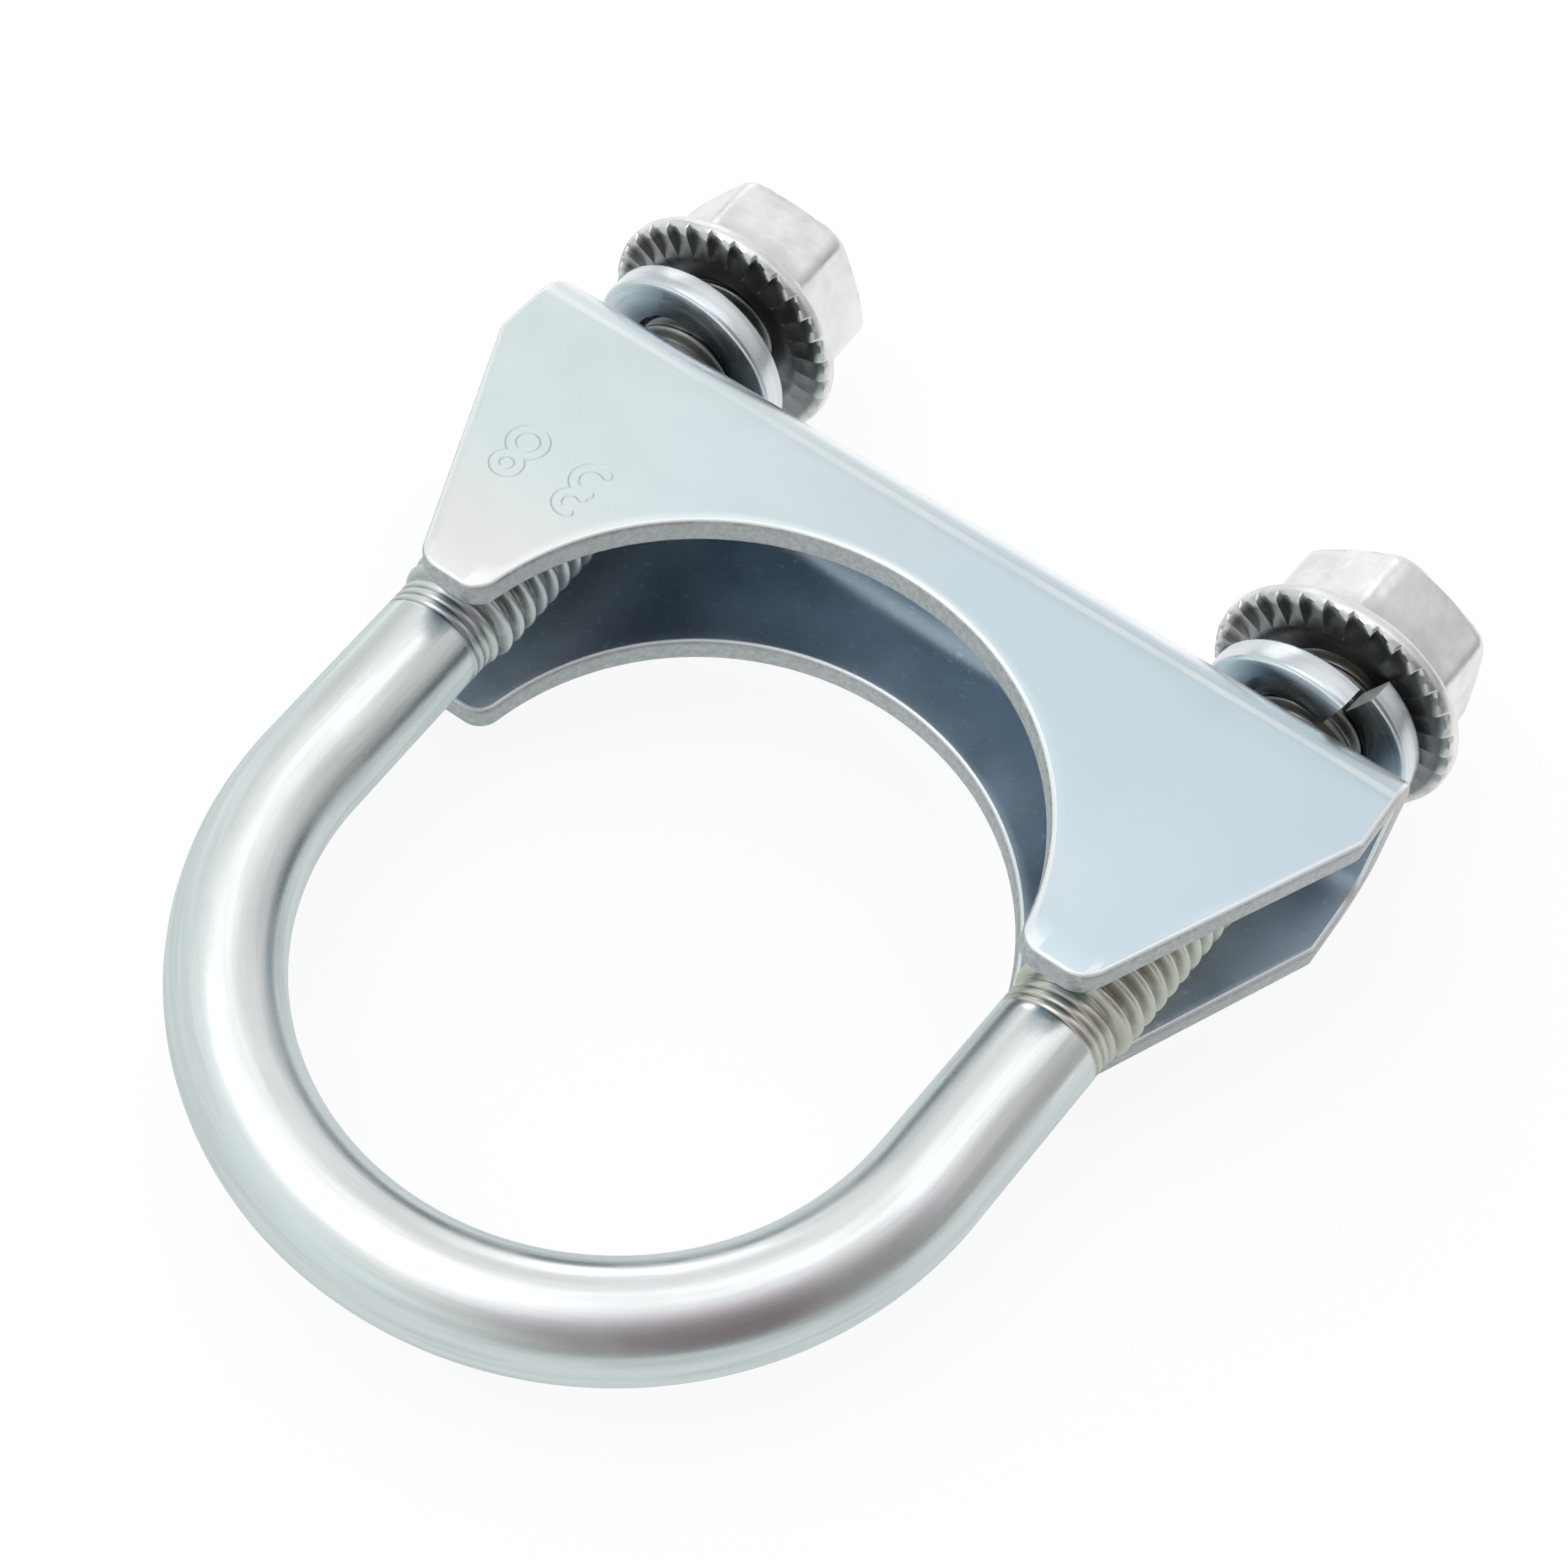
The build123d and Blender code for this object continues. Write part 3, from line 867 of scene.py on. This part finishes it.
class CLAMP_OT_nuts(bpy.types.Operator):
    """Builds the two flange nuts with their serrated undersides"""

    bl_idname = "clamp.build_nuts"
    bl_label = "Flange nuts"

    tooth_steps = (0.0, 0.05, 0.14, 0.24, 0.34, 0.45, 0.56, 0.67, 0.78, 0.9)
    tooth_fade = 1.2 * MM
    neck = 0.45 * MM  # rounding between the flange and the hexagon
    sharp_angle = math.radians(48)

    def hexagon_radius(self, nut, turn):
        """The hexagon's outline with rounded corners, as a radius at each angle."""
        flat, corner = nut.across_flats / 2, nut.corner_radius
        from_corner = np.abs((turn + math.pi / 6) % (math.pi / 3) - math.pi / 6)
        straight = flat / np.cos(math.pi / 6 - from_corner)
        centre = (flat - corner) / math.cos(math.pi / 6)
        reach = math.atan2(corner / 2, centre + corner * math.cos(math.pi / 6))
        inside = np.maximum(corner ** 2 - (centre * np.sin(from_corner)) ** 2, 0)
        rounded = centre * np.cos(from_corner) + np.sqrt(inside)
        return np.where(from_corner < reach, rounded, straight)

    def profile(self, nut, turn, tooth):
        """The nut's closed section at each angle: rows of radii and heights, and how much painted
        shade each row gets from lying in a hollow."""
        bore, mouth = nut.bore_radius, nut.bore_radius + nut.countersink
        recess, deep = nut.recess_radius, nut.recess_depth
        soft, ease, neck = nut.rim_radius, nut.top_rounding, self.neck
        rim, top, half = nut.flange_radius, nut.height, nut.across_flats / 2
        slope, top_slope = math.tan(nut.flange_slope), math.tan(nut.top_chamfer)
        hexagon = self.hexagon_radius(nut, turn)
        rows = []

        def row(radius, height, hollow=0.0):
            """One row of points round the nut."""
            rows.append((radius + 0 * turn, height + 0 * turn, hollow))

        def under(radius):
            """Depth of the serrations at a radius."""
            grown = float(smooth_step(nut.tooth_start, nut.tooth_start + self.tooth_fade, radius))
            return nut.tooth_depth * tooth * grown

        def shoulder(radius):
            """Height of the flange's sloping upper side."""
            return nut.flange_rim + slope * np.maximum(rim - soft - radius, 0)

        # The underside's hollow and its serrated rim
        row(bore, deep, 1.0)
        for share in (0.35, 0.7, 1.0):
            radius = bore + (recess - bore) * share
            row(radius, np.maximum(deep * (1 - share), under(radius)), 1.0)
        for radius in (recess + 0.4 * MM, rim - soft - 0.8 * MM, rim - soft - 0.1 * MM):
            row(radius, under(radius), 0.8)
        for degrees, hollow in ((20, 0.3), (50, 0.15), (80, 0.0)):
            tilt = math.radians(degrees)
            radius = rim - soft + soft * math.sin(tilt)
            row(radius, np.maximum(soft * (1 - math.cos(tilt)), under(radius) * 0.999), hollow)
        row(rim, np.maximum(soft, under(rim)) + 0.02 * MM)

        # The flange's rounded rim and sloping upper side
        for degrees in (10, 40, 65):
            tilt = math.radians(degrees)
            row(rim - soft + soft * math.cos(tilt), nut.flange_rim - soft * (1 - math.sin(tilt)))
        for share in (1.0, 0.8, 0.6):
            radius = hexagon + (rim - soft - hexagon) * share
            row(radius, shoulder(radius))

        # The hexagon, from its neck to its chamfered and rounded top
        foot = shoulder(hexagon + neck)
        row(hexagon + neck, foot, 0.15)
        row(hexagon + 0.3 * neck, foot + 0.35 * neck, 0.25)
        low = shoulder(hexagon) + neck
        row(hexagon, low, 0.1)
        chamfer = top - top_slope * (hexagon - half)
        for share in (0.33, 0.66):
            row(hexagon, low + (chamfer - ease - low) * share)
        row(hexagon, chamfer - ease)
        row(hexagon - 0.06 * ease, chamfer - 0.35 * ease)
        for share in (0.35, 1.0):
            radius = np.maximum(hexagon - share * ease, half - 1.2 * ease)
            row(radius, np.minimum(top - 0.2 * ease, top - top_slope * (radius - half)))

        # The flat top and the countersunk hole
        for radius in (half - 1.6 * ease, mouth + 0.4 * MM, mouth):
            row(radius, top)
        row(bore, top - nut.countersink, 0.6)
        row(bore, top / 2, 1.0)
        return rows

    def build(self, nut, side, y, spin, material):
        """One nut standing at height y, turned by spin on its leg."""
        steps = np.array(self.tooth_steps)
        turn = ((np.arange(nut.teeth)[:, None] + steps) * 2 * math.pi / nut.teeth).ravel()
        ramp = np.tile(np.where(steps == 0, 0, 1 - steps), nut.teeth)
        rows = self.profile(nut, turn, ramp)
        across, up = np.cos(turn), np.sin(turn)
        points = np.stack([np.stack([r * across, r * up, z], 1) for r, z, _ in rows], 1)
        # Share of painted shade for each row
        hollow = np.broadcast_to([h for _, _, h in rows], points.shape[:2])
        c, s = math.cos(spin), math.sin(spin)
        points = points.reshape(-1, 3) @ np.array([[c, s, 0], [-s, c, 0], [0, 0, 1]])
        faces = grid_faces(len(turn), len(rows), loop_columns=True, loop_rows=True)
        name = SIDES[side]
        piece = add_piece(f"{name}_nut", on_leg(side, y, points), faces, [material],
                          {"hollow": hollow.ravel()})
        piece.data.set_sharp_from_angle(angle=self.sharp_angle)
        stand_for(piece, f"{name}_flange_nut", f"{name}_nut")

    def execute(self, context):
        nut, bolt = context.scene.clamp_nut, context.scene.clamp_bolt
        material = nut_finish()
        lean = (nut.flange_radius - nut.rim_radius) * math.sin(bolt.leg_splay)
        for side, spin in ((LEFT, nut.left_angle), (RIGHT, nut.right_angle)):
            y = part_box(f"{SIDES[side]}_flange_nut")[0].y + lean
            self.build(nut, side, y, spin, material)
        return {"FINISHED"}


class CLAMP_OT_stage(bpy.types.Operator):
    """Sets the floor, the lamps, the surroundings and the camera"""

    bl_idname = "clamp.set_stage"
    bl_label = "Stage"

    floor_reach = 2.0
    # Painted shade: the darker, greener floor that reflections see near the clamp
    floor_reflection_shade = (0.62, 0.68, 0.67, 1.0)
    reflection_shade_fade = (10 * MM, 45 * MM)
    key_place, key_size = (-0.25, -0.12, 0.6), 0.3
    fill_place, fill_size = (-0.4, 0.45, 0.2), 0.25
    sensor, clip_start = 36, 0.01

    # The surroundings: rows of (place, grey level or colour), by height and towards each side
    left_side, back_side, dark_side = (-0.8, -0.6, 0.0), (-0.25, 0.97, 0.0), (0.68, -0.32, 0.66)
    height_bands = (
        (0.0, 0.2), (0.1, 0.22), (0.3, 0.42), (0.5, 0.52), (0.7, 0.62),
        (0.82, 0.78), (0.9, 1.0), (0.96, 0.97), (1.0, 0.85),
    )
    left_bands = ((0.05, 0.0), (0.55, (0.60, 0.65, 0.64)))
    back_bands = ((0.5, 0.0), (0.85, 0.66))
    dark_bands = (
        (0.62, 1.0), (0.73, 0.85), (0.80, (0.62, 0.60, 0.63)), (0.88, (0.43, 0.39, 0.41)),
        (0.96, (0.31, 0.265, 0.265)), (1.0, (0.29, 0.245, 0.24)),
    )

    def floor(self, context):
        """A pale floor under the nuts' rims and the saddle's feet, on which the clamp lies."""
        nuts = [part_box(f"{name}_flange_nut") for name in SIDES.values()]
        nut_y = sum(low.y for low, _ in nuts) / 2 + context.scene.clamp_nut.flange_rim / 2
        nut_z, foot_z = min(low.z for low, _ in nuts), saddle_box[0].z
        slope = (nut_z - foot_z) / (nut_y - saddle_box[0].y)
        x, y = self.floor_reach * np.array([[-1, -1, 1, 1], [-1, 1, 1, -1]])
        points = np.stack([x, y, nut_z + slope * (y - nut_y)], 1)

        stage, surface = context.scene.clamp_stage, context.scene.clamp_colours.floor
        finish = Finish("pale_floor", 0.0, 0.9)
        finish.shader.inputs["Base Color"].default_value = surface
        rays = finish.node("ShaderNodeLightPath").outputs
        seen = finish.math("MAXIMUM", rays["Is Camera Ray"], rays["Is Glossy Ray"])
        # Painted shade in reflections: glossy rays see the floor near the clamp darker
        beside = finish.span(finish.axes(finish.place())["Y"], *self.reflection_shade_fade, 1.0, 0.0)
        near = finish.times(rays["Is Glossy Ray"], beside)
        plain = finish.mix(near, surface, self.floor_reflection_shade)
        glow = finish.node("ShaderNodeEmission", {"Color": plain, "Strength": stage.floor_glow})
        both = finish.blend(finish.times(seen, stage.floor_share), finish.shader, glow)
        output = finish.tree.nodes["Material Output"]
        finish.tree.links.new(both, output.inputs["Surface"])
        add_piece("floor", points, [(0, 1, 2, 3)], [finish.material])

    def surroundings(self, context):
        """A bright studio, darker beside the camera and near the horizon, and white where the
        camera looks."""
        world = bpy.data.worlds.new("studio")
        context.scene.world = world
        world.use_nodes = True
        world.node_tree.nodes.clear()
        studio = Nodes(world.node_tree)
        away = studio.node("ShaderNodeTexCoord").outputs["Generated"]
        bands = studio.ramp(studio.axes(away)["Z"], self.height_bands)
        for side, steps in ((self.left_side, self.left_bands), (self.back_side, self.back_bands)):
            glow = studio.ramp(studio.towards(away, side), steps)
            bands = studio.mix(1.0, bands, glow, "LIGHTEN")
        shade = studio.ramp(studio.towards(away, self.dark_side), self.dark_bands)
        inputs = {"Color": studio.mix(1.0, bands, shade, "MULTIPLY"),
                  "Strength": context.scene.clamp_stage.sky}
        light = studio.node("ShaderNodeBackground", inputs)
        white = studio.node("ShaderNodeBackground", {"Color": (1, 1, 1, 1)})
        seen = studio.node("ShaderNodeLightPath").outputs["Is Camera Ray"]
        studio.node("ShaderNodeOutputWorld", {"Surface": studio.blend(seen, light, white)})

    def lamp(self, context, name, place, size, power):
        """A square soft lamp that faces the clamp."""
        light = bpy.data.lights.new(name, "AREA")
        light.size, light.energy = size, power
        lamp = bpy.data.objects.new(name, light)
        lamp.location = place
        lamp.rotation_euler = Vector(place).to_track_quat("Z", "Y").to_euler()
        context.scene.collection.objects.link(lamp)

    def camera(self, context):
        """The photograph's point of view."""
        stage = context.scene.clamp_stage
        camera = bpy.data.objects.new("camera", bpy.data.cameras.new("camera"))
        camera.data.lens, camera.data.sensor_width = stage.lens, self.sensor
        camera.data.clip_start = self.clip_start
        turn = Matrix.Rotation(stage.azimuth, 4, "Z")
        turn @= Matrix.Rotation(math.pi / 2 - stage.elevation, 4, "X")
        turn @= Matrix.Rotation(stage.roll, 4, "Z")
        back = Matrix.Translation((0, 0, stage.distance))
        camera.matrix_world = Matrix.Translation(stage.look_at) @ turn @ back
        context.scene.collection.objects.link(camera)
        context.scene.camera = camera

    def execute(self, context):
        stage = context.scene.clamp_stage
        self.floor(context)
        self.surroundings(context)
        self.lamp(context, "key_lamp", self.key_place, self.key_size, stage.key_power)
        self.lamp(context, "fill_lamp", self.fill_place, self.fill_size, stage.fill_power)
        self.camera(context)
        context.scene.view_settings.view_transform = "Standard"
        return {"FINISHED"}


class CLAMP_PT_panel(bpy.types.Panel):
    """Lists the clamp's operators and sizes"""

    bl_idname = "CLAMP_PT_panel"
    bl_label = "Exhaust clamp"
    bl_space_type = "VIEW_3D"
    bl_region_type = "UI"
    bl_category = "Clamp"

    def draw(self, context):
        for operator in OPERATORS:
            self.layout.operator(operator.bl_idname)
        for group, name in GROUPS.items():
            box = self.layout.box()
            box.label(text=group.__doc__)
            settings = getattr(context.scene, name)
            for prop in group.__annotations__:
                box.prop(settings, prop)


GROUPS = {
    ClampBoltSizes: "clamp_bolt",
    ClampSaddleSizes: "clamp_saddle",
    ClampWasherSizes: "clamp_washer",
    ClampNutSizes: "clamp_nut",
    ClampColours: "clamp_colours",
    ClampStage: "clamp_stage",
}
OPERATORS = (CLAMP_OT_bolt, CLAMP_OT_saddle, CLAMP_OT_washers, CLAMP_OT_nuts, CLAMP_OT_stage)


def register():
    """Adds the classes and the sizes to Blender."""
    for group, name in GROUPS.items():
        bpy.utils.register_class(group)
        setattr(bpy.types.Scene, name, bpy.props.PointerProperty(type=group))
    for made in (*OPERATORS, CLAMP_PT_panel):
        bpy.utils.register_class(made)


def unregister():
    """Takes them out again."""
    for made in (CLAMP_PT_panel, *reversed(OPERATORS)):
        bpy.utils.unregister_class(made)
    for group, name in reversed(GROUPS.items()):
        delattr(bpy.types.Scene, name)
        bpy.utils.unregister_class(group)


def main():
    """Builds the clamp and its stage."""
    register()
    bpy.ops.clamp.build_bolt()
    bpy.ops.clamp.build_saddle()
    bpy.ops.clamp.build_washers()
    bpy.ops.clamp.build_nuts()
    bpy.ops.clamp.set_stage()


if __name__ == "__main__":
    main()
